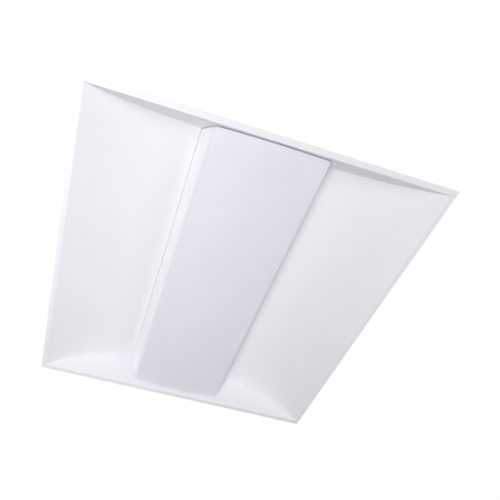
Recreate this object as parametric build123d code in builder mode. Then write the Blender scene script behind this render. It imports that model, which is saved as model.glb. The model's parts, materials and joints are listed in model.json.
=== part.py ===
from build123d import *
import os
from math import cos, degrees, radians, sin, tan

# A square lay-in troffer light, seen from below. The origin is the centre of the
# plane in which its flange rests on the ceiling tees, and +Z points up into the
# ceiling void. The near end is at -Y, and the left side at -X.

os.makedirs("parts", exist_ok=True)

# Shell
outer_width = 603.0          # across the side flanges
outer_length = 603.0         # across the end flanges
sheet = 0.7                  # painted steel sheet
side_flange = 7.5            # visible flange beside each wing
end_flange = 9.5             # visible flange at each end
bend = 1.2                   # bend radius on the side that shows
end_lean = 23.0              # degrees that the end plates lean inward
wing_depth = 52.0            # where the wings meet the lens, above the flange
wing_start_angle = 30.0      # degrees that a wing rises at its flange
wing_leg = 10.0              # upturned leg that makes the lens slot
wing_lip = 16.0              # flat lip on top of that leg, under the tray
fix_inset = 9.6              # rivets and end screws, inside the slot wall
butt_gap = 0.1               # between a cut sheet end and the face that it meets

# Lens
lens_base_width = 224.5      # over the two legs
lens_face_width = 190.0      # between the shoulders
lens_face_height = 7.0       # middle of the bowed face, above the flange plane
lens_bow = 5.0               # rise of the face from its middle to its shoulders
lens_wall = 2.0
lens_shoulder = 9.0          # radius of a shoulder
lens_leg_bend = 4.0          # radius where a flank turns into its leg
lens_leg_gap = 1.5           # above a leg, under the wing's lip
lens_slip = 0.35             # beside a leg
lens_end_gap = 1.2           # between the lens and an end plate
cap_wall = 2.0
cap_slip = 0.15              # around an end cap
cap_recess = 0.6             # an end cap lies this far inside the lens end

# Lens springs
spring_sheet = 0.5
spring_width = 14.0
spring_touch = 0.3           # between a spring and the leg that it steadies
spring_sweep = 2.95          # crown of a spring, beyond its base
spring_rise = 2.5            # from the wing's lip to where the spring sweeps out
spring_drop = 6.0            # crown of a spring, below the wing's lip
spring_tail = 11.5           # end of a spring, below the wing's lip
springs_per_side = 3
spring_pitch = 190.0
rivet_shank = 1.6
rivet_head = 2.8
rivet_head_height = 0.9

# Tray over the lens, LED boards and their plugs
tray_sheet = 0.9
tray_lip = 3.4               # upturned stiffening edge, below the conduit's way in
tray_edge_gap = 1.0          # from the tray's edge in to the wing's leg
board_width = 24.0
board_end_gap = 15.0         # from a board's end to the end plate
board_sheet = 1.2
board_centre = 45.0          # from the middle of the lens
led_length = 3.5
led_width = 2.8
led_height = 0.8
led_pitch = 14.0
led_end_room = 22.0          # board end without LEDs
board_screw_steps = (0.5, 10.5)   # LED pitches in from the last LED
plug_length = 13.0
plug_width = 9.0
plug_height = 4.5
plug_chamfer = 0.9
plug_inset = 2.0             # from the board's end

# Driver channel on the back
channel_half = 70.0          # inside, from the middle to a side wall
channel_height = 28.1        # clear height inside
channel_foot = 16.0          # foot that is screwed to the tray
rib_width = 10.0
rib_height = 1.2
rib_length = 100.0
rib_count = 5
rib_pitch = 74.0
rib_taper = 30.0
conduit_radius = 11.1        # knockout for a half-inch trade size connector
conduit_height = 14.0        # hole centre, above the tray
knockout_groove = 0.6        # width of the sheared ring, half a sheet deep

# Access door
door_end_gap = 26.0          # from the channel's near end to the opening
opening_width = 80.0
opening_length = 82.0
door_overlap = 8.0
door_back_gap = 1.0          # from the door's edge to its hinge line
door_round = 4.0
hook_x = 30.0                # hook tabs, from the middle
hook_width = 9.0
hook_reach = 4.0
hook_room = 0.7              # under the channel's top
slot_back = 2.2              # hook slot behind the hinge line
slot_front = 1.5             # and ahead of it
slot_side = 0.5
door_screw_room = 0.8        # lets the screw swing out with the door

# Driver
driver_width = 42.0
driver_length = 236.0
driver_height = 22.0
driver_base_height = 9.0
driver_end_gap = 57.0        # from the channel's far end
driver_x = -14.0
driver_ear = 12.0
driver_wall = 1.0            # sheet of its base, ears and lid
driver_round = 3.0
driver_lid_chamfer = 1.0
driver_screw_x = 14.0        # from the driver's middle
circuit_gap = 0.5            # around the circuit board
circuit_sheet = 1.6
circuit_post = 4.5
circuit_post_height = 3.0
circuit_post_x = 14.0
circuit_post_y = 104.0
transformer = (24.0, 26.0, 11.0)
transformer_y = 12.0         # from the driver's middle
filter_coil = (15.0, 15.0, 9.0)
filter_coil_y = -72.0
heat_sink = (3.0, 70.0, 13.0)
heat_sink_x = 15.0
heat_sink_y = 62.0
capacitor_radius = 5.0
capacitor_height = 14.0
capacitor_x = -10.0
capacitor_ys = (-40.0, 46.0, 82.0)
terminal_shift = 6.0         # terminals, from the driver's middle
terminal_depth = 9.0
terminal_height = 10.0
terminal_lift = 3.0          # above the tray
terminal_chamfer = 2.0
pole_pitch = 5.0
pole_side = 3.0              # plastic beside the outer poles
pole_depth = 5.0             # how far a lead goes in
pole_gap = 0.25              # around a lead

# Leads, connector, bushing and ground
lead_radius = 1.1
connector_width = 20.0
connector_height = 11.0
connector_length = 16.0      # of each half
connector_x = 34.0
connector_from_door = 34.0   # where its halves meet, from the hinge line
connector_pitch = 7.0
connector_round = 1.5
field_hole = 1.9
field_hole_depth = 9.0
bushing_hole = 7.0           # in the tray
bushing_bore = 4.6
bushing_flange = 9.0
bushing_flange_sheet = 1.2
bushing_chamfer = 0.6
bushing_gap = 0.1
bushing_end_gap = 30.0       # from the channel's far end
lead_sides = 8               # flats that stand for a lead's round insulation
short_run = 14.0             # straight run of the ground lead, and of leads at the board plugs
lug_run = 17.0               # straight run of the ground lead at its lug
lead_drop = 53.0             # lowest level of the LED leads, above the flange plane
saddle_length = 6.0
saddle_width = 9.0
saddle_gap = 0.3             # around the jumper
saddle_wall = 1.0            # under the jumper
ground_x = 61.0
ground_from_door = 30.0
lug_sheet = 0.8
lug_radius = 4.2
lug_neck = 2.0               # between the ring and the barrel
barrel_radius = 2.0
barrel_length = 8.0

# Grid clips and their ears on the end plates
ear_height = 46.0            # underside of an ear, above the flange
ear_margin = 9.0             # ear beside the pivot and the hanger hole
ear_round = 5.0
clip_sheet = 1.0
clip_width = 13.0
clip_length = 34.0           # pivot to tip
clip_hook = 8.0              # down-turned tip
clip_from_side = 55.5        # pivot, from the side of the fixture
clip_from_end = 17.5         # pivot, from the end of the fixture
pivot_shank = 2.5
pivot_clearance = 0.05
pivot_head = 4.6
pivot_head_height = 1.5
pivot_tail = 4.0
pivot_tail_height = 1.2
hanger_radius = 3.2
hanger_step = 19.0           # from the pivot towards the side

# End plates
edge_rise = 6.0              # height of an end plate at its outer corners
plate_margin = 12.0          # end plate beyond the lens slot, at tray level
foot_margin = 4.0            # end plate beyond the channel's foot
crown_margin = 6.0           # end plate beyond the channel's top corners
tray_tab = 12.0              # width and length of a tab on the tray
top_tab_width = 128.0
top_tab_length = 14.0
corner_tab_width = 5.0
corner_tab_length = 12.0
corner_tab_inset = 1.0
plate_round = 0.5            # bend between an end plate and its flange

# Screws
screw_shank = 2.0
screw_gap = 0.05
screw_hex = 4.2              # centre to corner
screw_head_height = 2.4
screw_point = 2.0            # shank beyond the last sheet
small_shank = 1.5
small_head = 2.7
small_head_height = 1.3
top_screw_x = 45.0
channel_screws_per_side = 4
channel_screw_pitch = 150.0

# Levels and lines that several pieces share
half_width = outer_width / 2
half_length = outer_length / 2
wing_edge = half_width - side_flange
end_edge = half_length - end_flange
slot_wall = lens_base_width / 2 + lens_slip
lip_z = wing_depth + wing_leg
tray_z = lip_z + sheet
tray_top = tray_z + tray_sheet
channel_z = tray_top + channel_height
channel_top = channel_z + sheet
fix_x = slot_wall - fix_inset


def lean_in(height):
    """How far inside its flange an end plate stands at a height."""
    return height * tan(radians(end_lean))


def up(height):
    """A height measured along the face of an end plate."""
    return height / cos(radians(end_lean))


def end_plane(end, inset=0.0):
    """Inner face of the end plate at end -1 (near) or 1 (far), moved inward."""
    lean = radians(end_lean)
    face = Plane(origin=(0, end * end_edge, 0), x_dir=(1, 0, 0), z_dir=(0, end * cos(lean), sin(lean)))
    return face.offset(-inset)


def spread(count, pitch):
    """Evenly pitched places, centred on zero."""
    return [pitch * (n - (count - 1) / 2) for n in range(count)]


def trim_ends(gap):
    """Cut the part in hand along both leaning end plates."""
    for end in (-1, 1):
        split(bisect_by=end_plane(end, gap), keep=Keep.BOTTOM)


def plate(spots, width, length, level, height, mode=Mode.ADD):
    """Flat rectangles of one size, centred on the spots, from a level upward."""
    with BuildSketch(Plane.XY.offset(level)) as outline:
        with Locations(*spots):
            Rectangle(width, length)
    extrude(outline.sketch, amount=height, mode=mode)


def discs(spots, radius, level, height, mode=Mode.ADD):
    """Upright round discs, or round holes, centred on the spots."""
    with BuildSketch(Plane.XY.offset(level)) as outline:
        with Locations(*spots):
            Circle(radius)
    extrude(outline.sketch, amount=height, mode=mode)


def hex_screws(spots, seat, grip):
    """Hexagon-head screws driven down through a stack of sheets."""
    with BuildSketch(Plane.XY.offset(seat)) as heads:
        with Locations(*spots):
            RegularPolygon(screw_hex, 6)
    extrude(heads.sketch, amount=screw_head_height)
    discs(spots, screw_shank, seat - grip, grip)


def tunnel(spots, radius, depth):
    """Blind round holes along -Y or +Y: each spot is (x, y, z, direction)."""
    for x, y, z, way in spots:
        with BuildSketch(Plane(origin=(x, y, z), x_dir=(1, 0, 0), z_dir=(0, way, 0))) as mouth:
            Circle(radius)
        extrude(mouth.sketch, amount=depth, mode=Mode.SUBTRACT)


def lead(points):
    """An insulated lead through the points, with bends as wide as its runs allow."""
    spots = [Vector(*point) for point in points]
    radii = []
    for before, corner, after in zip(spots, spots[1:], spots[2:]):
        turn = radians((corner - before).get_angle(after - corner))
        run = min((corner - before).length, (after - corner).length)
        radii.append(0.45 * run / tan(turn / 2))
    route = FilletPolyline(*spots, radius=radii) if radii else Line(*spots)
    with BuildPart() as wire:
        with BuildLine():
            add(route)
        with BuildSketch(Plane(origin=route @ 0, z_dir=route % 0)) as section:
            RegularPolygon(lead_radius, lead_sides)
        sweep()
    ratio = wire.part.volume / (section.sketch.area * route.length)
    print("lead", round(route.length, 1), "radii", [round(radius, 1) for radius in radii], round(ratio, 4))
    return wire.part


def keep(part, name):
    """Label a finished piece and write its file."""
    part.label = name
    export_step(part, f"parts/{name}.step")


# Where the fasteners go
end_screw_y = end_edge - lean_in(tray_top) - tray_tab / 2 + sheet
end_screw_spots = [(x, y) for x in (-fix_x, fix_x) for y in (-end_screw_y, end_screw_y)]
rivet_spots = [(x, y) for x in (-fix_x, fix_x) for y in spread(springs_per_side, spring_pitch)]
channel_screw_x = channel_half + channel_foot / 2
channel_screw_spots = [
    (x, y) for x in (-channel_screw_x, channel_screw_x)
    for y in spread(channel_screws_per_side, channel_screw_pitch)
]
top_screw_y = end_edge - lean_in(channel_top) - top_tab_length / 2 + sheet
top_screw_spots = [(x, y) for x in (-top_screw_x, top_screw_x) for y in (-top_screw_y, top_screw_y)]

# Wings. Each is one sheet: tee flange, curved reflector, lens slot wall and lip.
with BuildPart() as left_wing:
    with BuildSketch(Plane.XZ):
        with BuildLine():
            flange_line = Line((-half_width, 0), (-wing_edge, 0))
            first_bend = JernArc(flange_line @ 1, flange_line % 1, bend, wing_start_angle)
            curve = TangentArc(first_bend @ 1, (-slot_wall - bend, wing_depth), tangent=first_bend % 1)
            slope = degrees((curve % 1).Y / (curve % 1).X)
            last_bend = JernArc(curve @ 1, curve % 1, bend, 90 - slope)
            leg = Line(last_bend @ 1, ((last_bend @ 1).X, lip_z))
            Line(leg @ 1, (-slot_wall + wing_lip, lip_z))
            offset(amount=sheet, side=Side.LEFT)
        make_face()
    extrude(amount=half_length, both=True)
    trim_ends(butt_gap)
    left_screws = [spot for spot in end_screw_spots if spot[0] < 0]
    left_rivets = [spot for spot in rivet_spots if spot[0] < 0]
    discs(left_screws, screw_shank + screw_gap, lip_z, sheet, Mode.SUBTRACT)
    discs(left_rivets, rivet_shank + screw_gap, lip_z, sheet, Mode.SUBTRACT)
keep(left_wing.part, "left_wing")

with BuildPart() as right_wing:
    mirror(left_wing.part, about=Plane.YZ)
keep(right_wing.part, "right_wing")

# End plates. Each leans inward over the wing ends and has the end tee flange, a top
# tab on the channel, two tabs on the tray, two corner tabs and two ears for clips.
pivot_x = half_width - clip_from_side
pivot_y = half_length - clip_from_end
hanger_x = pivot_x + hanger_step
ear_width = hanger_step + 2 * ear_margin
ear_x = pivot_x + hanger_step / 2
ear_root = end_edge - lean_in(ear_height)
tray_root = end_edge - lean_in(tray_top)
top_root = end_edge - lean_in(channel_top)
corner_x = half_width - corner_tab_inset - corner_tab_width / 2
corner_y = end_edge + sheet - corner_tab_length / 2
with BuildPart() as near_end_plate:
    with BuildSketch(end_plane(-1)):
        with BuildLine():
            foot = Line((0, 0), (half_width, 0))
            corner = Line(foot @ 1, (half_width, up(edge_rise)))
            rise = radians(wing_start_angle)
            shoulder = TangentArc(
                corner @ 1, (slot_wall + plate_margin, up(lip_z)), tangent=(-cos(rise), sin(rise))
            )
            Polyline(
                shoulder @ 1,
                (slot_wall + plate_margin, up(tray_top + sheet)),
                (channel_half + channel_foot + foot_margin, up(tray_top + sheet)),
                (channel_half + crown_margin, up(channel_top)),
                (0, up(channel_top)),
            )
            mirror(about=Plane.YZ)
        make_face()
        with Locations((-ear_x, up(ear_height / 2)), (ear_x, up(ear_height / 2))):
            Rectangle(ear_width, up(ear_height))
    extrude(amount=sheet)
    plate([(0, -(half_length + end_edge) / 2)], outer_width, end_flange, 0, sheet)
    bend_edge = edges().filter_by(Axis.X).group_by(Axis.Z)[0].sort_by(Axis.Y)[-1]
    fillet(bend_edge, plate_round)
    ear_y = -(end_edge + ear_root) / 2
    plate([(-ear_x, ear_y), (ear_x, ear_y)], ear_width, end_edge - ear_root, ear_height, sheet)
    ear_corners = edges().filter_by(Axis.Z).filter_by_position(Axis.Z, ear_height, ear_height + sheet)
    fillet(ear_corners.group_by(Axis.Y)[0], ear_round)
    tab_y = -tray_root + tray_tab / 2 - sheet
    plate([(-fix_x, tab_y), (fix_x, tab_y)], tray_tab, tray_tab, tray_top, sheet)
    plate([(0, -top_root + top_tab_length / 2 - sheet)], top_tab_width, top_tab_length, channel_top, sheet)
    plate([(-corner_x, -corner_y), (corner_x, -corner_y)], corner_tab_width, corner_tab_length, sheet, sheet)
    screw_hole = screw_shank + screw_gap
    discs([spot for spot in end_screw_spots if spot[1] < 0], screw_hole, tray_top, sheet, Mode.SUBTRACT)
    discs([spot for spot in top_screw_spots if spot[1] < 0], screw_hole, channel_top, sheet, Mode.SUBTRACT)
    pivot_hole = pivot_shank + pivot_clearance
    discs([(-pivot_x, -pivot_y), (pivot_x, -pivot_y)], pivot_hole, ear_height, sheet, Mode.SUBTRACT)
    discs([(-hanger_x, -pivot_y), (hanger_x, -pivot_y)], hanger_radius, ear_height, sheet, Mode.SUBTRACT)
keep(near_end_plate.part, "near_end_plate")

with BuildPart() as far_end_plate:
    mirror(near_end_plate.part, about=Plane.XZ)
keep(far_end_plate.part, "far_end_plate")

# Grid clips. Each swings out over a tee, about the rivet in its ear.
clip_level = ear_height + sheet
for end_name, end in (("near", -1), ("far", 1)):
    for side_name, side in (("left", -1), ("right", 1)):
        pivot = Plane(origin=(side * pivot_x, end * pivot_y, clip_level), x_dir=(-side, 0, 0), z_dir=(0, 0, 1))
        with BuildPart() as grid_clip:
            with BuildSketch(pivot):
                with Locations((clip_length / 2, 0)):
                    Rectangle(clip_length, clip_width)
                Circle(clip_width / 2)
                Circle(pivot_shank + pivot_clearance, mode=Mode.SUBTRACT)
            extrude(amount=clip_sheet)
            with BuildSketch(pivot):
                with Locations((clip_length - clip_sheet / 2, 0)):
                    Rectangle(clip_sheet, clip_width)
            extrude(amount=-clip_hook)
        keep(grid_clip.part, f"{end_name}_{side_name}_grid_clip")

with BuildPart() as grid_clip_rivets:
    pivots = [(x, y) for x in (-pivot_x, pivot_x) for y in (-pivot_y, pivot_y)]
    pivot_stack = sheet + clip_sheet + 2 * pivot_clearance
    discs(pivots, pivot_tail, ear_height - pivot_tail_height, pivot_tail_height)
    discs(pivots, pivot_shank, ear_height, pivot_stack)
    discs(pivots, pivot_head, ear_height + pivot_stack, pivot_head_height)
keep(grid_clip_rivets.part, "grid_clip_rivets")

# Lens: an extrusion with two legs, two leaning flanks and a bowed face.
leg_x = lens_base_width / 2
face_x = lens_face_width / 2
leg_top = lip_z - lens_leg_gap
shoulder_z = lens_face_height + lens_bow


def lens_outline():
    """Outer line of the lens section, from leg top to leg top."""
    with BuildLine() as line:
        Polyline((-leg_x, leg_top), (-leg_x, wing_depth), (-face_x, shoulder_z))
        ThreePointArc((-face_x, shoulder_z), (0, lens_face_height), (face_x, shoulder_z))
        Polyline((face_x, shoulder_z), (leg_x, wing_depth), (leg_x, leg_top))
        fillet(line.vertices().group_by(Axis.Y)[1], lens_leg_bend)
        fillet(line.vertices().group_by(Axis.Y)[0], lens_shoulder)
    return line.line


with BuildPart() as center_lens:
    with BuildSketch(Plane.XZ):
        with BuildLine():
            add(lens_outline())
            offset(amount=lens_wall, side=Side.LEFT)
        make_face()
    extrude(amount=half_length, both=True)
    trim_ends(lens_end_gap)
keep(center_lens.part, "center_lens")

for name, end in (("near_lens_cap", -1), ("far_lens_cap", 1)):
    with BuildPart() as lens_cap:
        with BuildSketch(Plane.XZ):
            with BuildLine():
                add(lens_outline())
                Line((-leg_x, leg_top), (leg_x, leg_top))
            make_face()
            offset(amount=-(lens_wall + cap_slip))
        extrude(amount=half_length, both=True)
        outer_face = end_plane(end, lens_end_gap + cap_recess)
        split(bisect_by=outer_face, keep=Keep.BOTTOM)
        split(bisect_by=outer_face.offset(-cap_wall), keep=Keep.TOP)
    keep(lens_cap.part, name)

# Lens springs, riveted under the wing lips.
with BuildPart() as lens_springs:
    crown_x = leg_x - lens_wall - spring_touch
    base_x = crown_x - spring_sweep
    with BuildSketch(Plane.XZ) as spring_section:
        with BuildLine():
            Polyline(
                (-2 * fix_x + base_x, lip_z),
                (-base_x, lip_z),
                (-base_x, lip_z - spring_rise),
                (-crown_x, lip_z - spring_drop),
                (-base_x, lip_z - spring_tail),
            )
            offset(amount=spring_sheet, side=Side.LEFT)
        make_face()
    for y in spread(springs_per_side, spring_pitch):
        moved = Plane(origin=(0, y, 0)).location * spring_section.sketch
        extrude(moved, amount=spring_width / 2, both=True)
    discs([spot for spot in rivet_spots if spot[0] < 0], rivet_shank + screw_gap,
          lip_z - spring_sheet, spring_sheet, Mode.SUBTRACT)
    mirror(about=Plane.YZ)
keep(lens_springs.part, "lens_springs")

with BuildPart() as lens_spring_rivets:
    rivet_stack = spring_sheet + sheet + tray_sheet
    rivet_foot = lip_z - spring_sheet - rivet_head_height
    discs(rivet_spots, rivet_head, rivet_foot, rivet_head_height)
    discs(rivet_spots, rivet_shank, lip_z - spring_sheet, rivet_stack)
    discs(rivet_spots, rivet_head, tray_top, rivet_head_height)
keep(lens_spring_rivets.part, "lens_spring_rivets")

# LED tray: a flat sheet over the lens with upturned edges.
bay_end = end_edge - lean_in(channel_z)
tray_edge = slot_wall - tray_edge_gap
hinge_y = -bay_end + door_end_gap + opening_length + door_overlap + door_back_gap
driver_y = bay_end - driver_end_gap - driver_length / 2
driver_screw_y = driver_length / 2 + driver_ear / 2
driver_screw_spots = [
    (driver_x - driver_screw_x, driver_y - driver_screw_y),
    (driver_x - driver_screw_x, driver_y + driver_screw_y),
]
terminal_x = driver_x + terminal_shift
bushing_x = terminal_x
bushing_y = bay_end - bushing_end_gap
ground_y = hinge_y + ground_from_door
board_half = end_edge - lean_in(tray_z) - board_end_gap
led_count = int(2 * (board_half - led_end_room) / led_pitch) + 1
last_led_y = led_pitch * (led_count - 1) / 2
board_screw_ys = [way * (last_led_y - step * led_pitch) for step in board_screw_steps for way in (-1, 1)]
board_screw_spots = [(x, y) for x in (-board_centre, board_centre) for y in board_screw_ys]
with BuildPart() as led_tray:
    with BuildSketch(Plane.XZ):
        with BuildLine() as tray_line:
            Polyline(
                (-tray_edge, tray_z + tray_lip), (-tray_edge, tray_z),
                (tray_edge, tray_z), (tray_edge, tray_z + tray_lip),
            )
            fillet(tray_line.vertices().group_by(Axis.Y)[0], bend + tray_sheet)
            offset(amount=tray_sheet, side=Side.LEFT)
        make_face()
    extrude(amount=half_length, both=True)
    trim_ends(butt_gap)
    tray_screw_spots = end_screw_spots + channel_screw_spots + driver_screw_spots + [(ground_x, ground_y)]
    discs(tray_screw_spots, screw_shank + screw_gap, tray_z, tray_sheet, Mode.SUBTRACT)
    discs(rivet_spots, rivet_shank + screw_gap, tray_z, tray_sheet, Mode.SUBTRACT)
    discs(board_screw_spots, small_shank + screw_gap, tray_z, tray_sheet, Mode.SUBTRACT)
    discs([(bushing_x, bushing_y)], bushing_hole, tray_z, tray_sheet, Mode.SUBTRACT)
keep(led_tray.part, "led_tray")

with BuildPart() as tray_bushing:
    discs([(bushing_x, bushing_y)], bushing_flange, tray_z - bushing_flange_sheet, bushing_flange_sheet)
    discs([(bushing_x, bushing_y)], bushing_hole - bushing_gap, tray_z, tray_sheet)
    discs([(bushing_x, bushing_y)], bushing_flange, tray_top, bushing_flange_sheet)
    chamfer(edges().group_by(Axis.Z)[-1], bushing_chamfer)
    bushing_height = tray_sheet + 2 * bushing_flange_sheet
    discs([(bushing_x, bushing_y)], bushing_bore, tray_z - bushing_flange_sheet, bushing_height, Mode.SUBTRACT)
keep(tray_bushing.part, "tray_bushing")

# LED boards under the tray, with their LEDs, plugs and screws.
board_z = tray_z - board_sheet
plug_y = board_half - plug_inset - plug_width / 2
pole_z = board_z - plug_height / 2
for name, side in (("left", -1), ("right", 1)):
    with BuildPart() as led_board:
        plate([(side * board_centre, 0)], board_width, 2 * board_half, board_z, board_sheet)
        holes = [spot for spot in board_screw_spots if spot[0] * side > 0]
        discs(holes, small_shank + screw_gap, board_z, board_sheet, Mode.SUBTRACT)
    keep(led_board.part, f"{name}_led_board")
    with BuildPart() as leds:
        led_spots = [(side * board_centre, y) for y in spread(led_count, led_pitch)]
        plate(led_spots, led_width, led_length, board_z - led_height, led_height)
    keep(leds.part, f"{name}_leds")

with BuildPart() as board_plugs:
    plug_spots = [(x, y) for x in (-board_centre, board_centre) for y in (-plug_y, plug_y)]
    plate(plug_spots, plug_length, plug_width, board_z - plug_height, plug_height)
    chamfer(edges().filter_by(Axis.Y).group_by(Axis.Z)[0], plug_chamfer)
    for x, y in plug_spots:
        way = -1 if x > 0 else 1
        mouth = Plane(origin=(x + way * plug_length / 2, y, pole_z), z_dir=(-way, 0, 0))
        with BuildSketch(mouth) as entry:
            Circle(lead_radius + pole_gap)
        extrude(entry.sketch, amount=pole_depth, mode=Mode.SUBTRACT)
keep(board_plugs.part, "board_plugs")

with BuildPart() as board_screws:
    discs(board_screw_spots, small_head, board_z - small_head_height, small_head_height)
    discs(board_screw_spots, small_shank, board_z, board_sheet + tray_sheet)
keep(board_screws.part, "board_screws")

# Driver channel: a folded cover with feet, ribs, a door opening and two knockouts.
opening_y = -bay_end + door_end_gap + opening_length / 2
door_near = opening_y - opening_length / 2 - door_overlap
door_screw_y = door_near + door_overlap / 2
conduit_z = tray_top + conduit_height
slot_y = hinge_y + (slot_front - slot_back) / 2
rib_middle = (bay_end + hinge_y) / 2 - top_tab_length / 2
rib_spots = [(0, rib_middle + y) for y in spread(rib_count, rib_pitch)]
with BuildPart() as driver_channel:
    with BuildSketch(Plane.XZ):
        with BuildLine():
            FilletPolyline(
                (-channel_half - channel_foot, tray_top), (-channel_half, tray_top),
                (-channel_half, channel_z), (channel_half, channel_z),
                (channel_half, tray_top), (channel_half + channel_foot, tray_top),
                radius=bend,
            )
            offset(amount=sheet, side=Side.LEFT)
        make_face()
    extrude(amount=half_length, both=True)
    trim_ends(butt_gap)
    with BuildSketch(Plane.XY.offset(channel_top)) as ribs:
        with Locations(*rib_spots):
            SlotOverall(rib_length, rib_width)
    extrude(ribs.sketch, amount=rib_height, taper=rib_taper)
    with BuildSketch(Plane.XY.offset(channel_z)) as rib_hollows:
        with Locations(*rib_spots):
            SlotOverall(rib_length - 2 * sheet, rib_width - 2 * sheet)
    extrude(rib_hollows.sketch, amount=rib_height, taper=rib_taper, mode=Mode.SUBTRACT)
    plate([(0, opening_y)], opening_width, opening_length, channel_z, sheet, Mode.SUBTRACT)
    slot_spots = [(-hook_x, slot_y), (hook_x, slot_y)]
    slot_size = (hook_width + 2 * slot_side, slot_back + slot_front)
    plate(slot_spots, *slot_size, channel_z, sheet, Mode.SUBTRACT)
    discs(channel_screw_spots, screw_shank + screw_gap, tray_top, sheet, Mode.SUBTRACT)
    discs(top_screw_spots, screw_shank + screw_gap, channel_z, sheet, Mode.SUBTRACT)
    discs([(0, door_screw_y)], screw_shank + door_screw_room, channel_z, sheet, Mode.SUBTRACT)
    with BuildSketch(Plane(origin=(-channel_half, opening_y, conduit_z), z_dir=(-1, 0, 0))) as conduit:
        Circle(conduit_radius)
    extrude(conduit.sketch, amount=sheet, mode=Mode.SUBTRACT)
    with BuildSketch(Plane(origin=(channel_half + sheet, opening_y, conduit_z), z_dir=(1, 0, 0))) as knockout:
        Circle(conduit_radius)
        Circle(conduit_radius - knockout_groove, mode=Mode.SUBTRACT)
    extrude(knockout.sketch, amount=-sheet / 2, mode=Mode.SUBTRACT)
keep(driver_channel.part, "driver_channel")

# Access door: lies on the channel, hooks under it at the hinge end, one screw at the other.
hinge_z = channel_z + sheet / 2
with BuildPart() as access_door:
    door_back = hinge_y - door_back_gap
    with BuildSketch(Plane.XY.offset(channel_top)) as door_outline:
        with Locations((0, (door_near + door_back) / 2)):
            Rectangle(opening_width + 2 * door_overlap, door_back - door_near)
        fillet(door_outline.vertices().group_by(Axis.Y)[0], door_round)
    extrude(amount=sheet)
    neck = door_back_gap + sheet / 2
    plate([(-hook_x, hinge_y + sheet / 2 - neck / 2), (hook_x, hinge_y + sheet / 2 - neck / 2)],
          hook_width, neck, channel_top, sheet)
    drop = 2 * sheet + hook_room + sheet
    plate([(-hook_x, hinge_y), (hook_x, hinge_y)], hook_width, sheet, channel_top + sheet - drop, drop)
    toe_y = hinge_y - sheet / 2 + hook_reach / 2
    plate([(-hook_x, toe_y), (hook_x, toe_y)], hook_width, hook_reach, channel_top + sheet - drop, sheet)
    discs([(0, door_screw_y)], screw_shank + screw_gap, channel_top, sheet, Mode.SUBTRACT)
    with BuildSketch(Plane.XY.offset(channel_top + sheet)) as door_knockout:
        with Locations((0, opening_y)):
            Circle(conduit_radius)
            Circle(conduit_radius - knockout_groove, mode=Mode.SUBTRACT)
    extrude(door_knockout.sketch, amount=-sheet / 2, mode=Mode.SUBTRACT)
keep(access_door.part, "access_door")

# Driver: a folded base with ears, a lid, a circuit board, and terminals at both ends.
def driver_box(shrink, level, height, mode=Mode.ADD):
    """An upright box with the driver's outline, smaller all round by shrink."""
    with BuildSketch(Plane.XY.offset(level)) as outline:
        with Locations((driver_x, driver_y)):
            RectangleRounded(driver_width - 2 * shrink, driver_length - 2 * shrink, driver_round - shrink)
    extrude(outline.sketch, amount=height, mode=mode)


driver_floor = tray_top + driver_wall
driver_seam = tray_top + driver_base_height
circuit_z = driver_floor + circuit_post_height
circuit_top = circuit_z + circuit_sheet
with BuildPart() as driver_base:
    ear_length = driver_length + 2 * driver_ear
    plate([(driver_x, driver_y)], driver_width, ear_length, tray_top, driver_wall)
    fillet(edges().filter_by(Axis.Z), driver_round)
    driver_box(0, tray_top, driver_base_height)
    driver_box(driver_wall, driver_floor, driver_base_height - driver_wall, Mode.SUBTRACT)
    posts = [(driver_x + x, driver_y + y) for x in (-circuit_post_x, circuit_post_x)
             for y in (-circuit_post_y, circuit_post_y)]
    plate(posts, circuit_post, circuit_post, driver_floor, circuit_post_height)
    discs(driver_screw_spots, screw_shank + screw_gap, tray_top, driver_wall, Mode.SUBTRACT)
keep(driver_base.part, "driver_base")

with BuildPart() as driver_lid:
    lid_height = driver_height - driver_base_height
    driver_box(0, driver_seam, lid_height)
    chamfer(faces().sort_by(Axis.Z)[-1].edges(), driver_lid_chamfer)
    driver_box(driver_wall, driver_seam, lid_height - driver_wall, Mode.SUBTRACT)
keep(driver_lid.part, "driver_lid")

with BuildPart() as driver_circuit:
    driver_box(driver_wall + circuit_gap, circuit_z, circuit_sheet)
    for (width, length, height), shift_x, shift_y in (
        (transformer, 0, transformer_y),
        (filter_coil, 0, filter_coil_y),
        (heat_sink, heat_sink_x, heat_sink_y),
    ):
        plate([(driver_x + shift_x, driver_y + shift_y)], width, length, circuit_top, height)
    capacitors = [(driver_x + capacitor_x, driver_y + y) for y in capacitor_ys]
    discs(capacitors, capacitor_radius, circuit_top, capacitor_height)
keep(driver_circuit.part, "driver_circuit")

pole_level = tray_top + terminal_lift + terminal_height / 2
near_face = driver_y - driver_length / 2
far_face = driver_y + driver_length / 2
input_poles = [terminal_x + x for x in spread(3, pole_pitch)]
output_poles = [terminal_x + x for x in spread(2, pole_pitch)]
for name, poles, face_y, way in (
    ("driver_input_terminals", input_poles, near_face, -1),
    ("driver_output_terminals", output_poles, far_face, 1),
):
    with BuildPart() as terminals:
        width = pole_pitch * (len(poles) - 1) + 2 * pole_side
        middle = (terminal_x, face_y + way * terminal_depth / 2)
        plate([middle], width, terminal_depth, tray_top + terminal_lift, terminal_height)
        top_edges = edges().filter_by(Axis.X).group_by(Axis.Z)[-1].sort_by(Axis.Y)
        chamfer(top_edges[-1] if way > 0 else top_edges[0], terminal_chamfer)
        mouths = [(x, face_y + way * terminal_depth, pole_level, -way) for x in poles]
        tunnel(mouths, lead_radius + pole_gap, pole_depth)
    keep(terminals.part, name)

with BuildPart() as driver_screws:
    hex_screws(driver_screw_spots, driver_floor, driver_wall + tray_sheet + screw_point)
keep(driver_screws.part, "driver_screws")

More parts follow.
